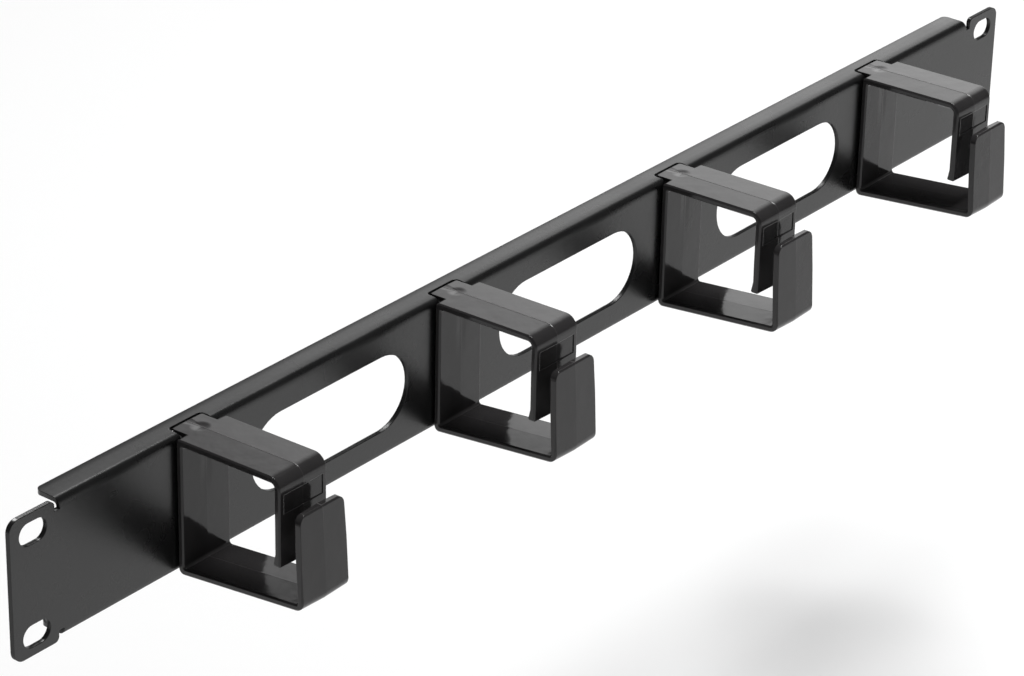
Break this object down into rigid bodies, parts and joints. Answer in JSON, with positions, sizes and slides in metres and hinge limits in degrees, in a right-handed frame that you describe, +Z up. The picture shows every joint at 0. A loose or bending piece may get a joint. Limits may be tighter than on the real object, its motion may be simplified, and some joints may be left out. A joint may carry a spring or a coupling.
{
  "type": "rack cable management panel",
  "caption": "Black 1U rack panel for routing patch cords, a folded steel channel with rack ears, oblong pass-through holes and clip-on plastic cable rings with overlapping legs.",
  "frame": {"origin": "middle of the panel's front face, centred between the four rack slots", "axes": "+X along the panel to the right as seen from the front, -Y out of the front face towards the rings, +Z up"},
  "size_m": [0.4826, 0.0568, 0.0447],
  "materials": {
    "powder_coated_steel": "satin black powder coat",
    "black_plastic": "semi-gloss black moulded plastic"
  },
  "bodies": {
    "root": {"panel": "powder_coated_steel", "cable_ring_1": "black_plastic", "cable_ring_2": "black_plastic", "cable_ring_3": "black_plastic", "cable_ring_4": "black_plastic"}
  },
  "joints": []
}
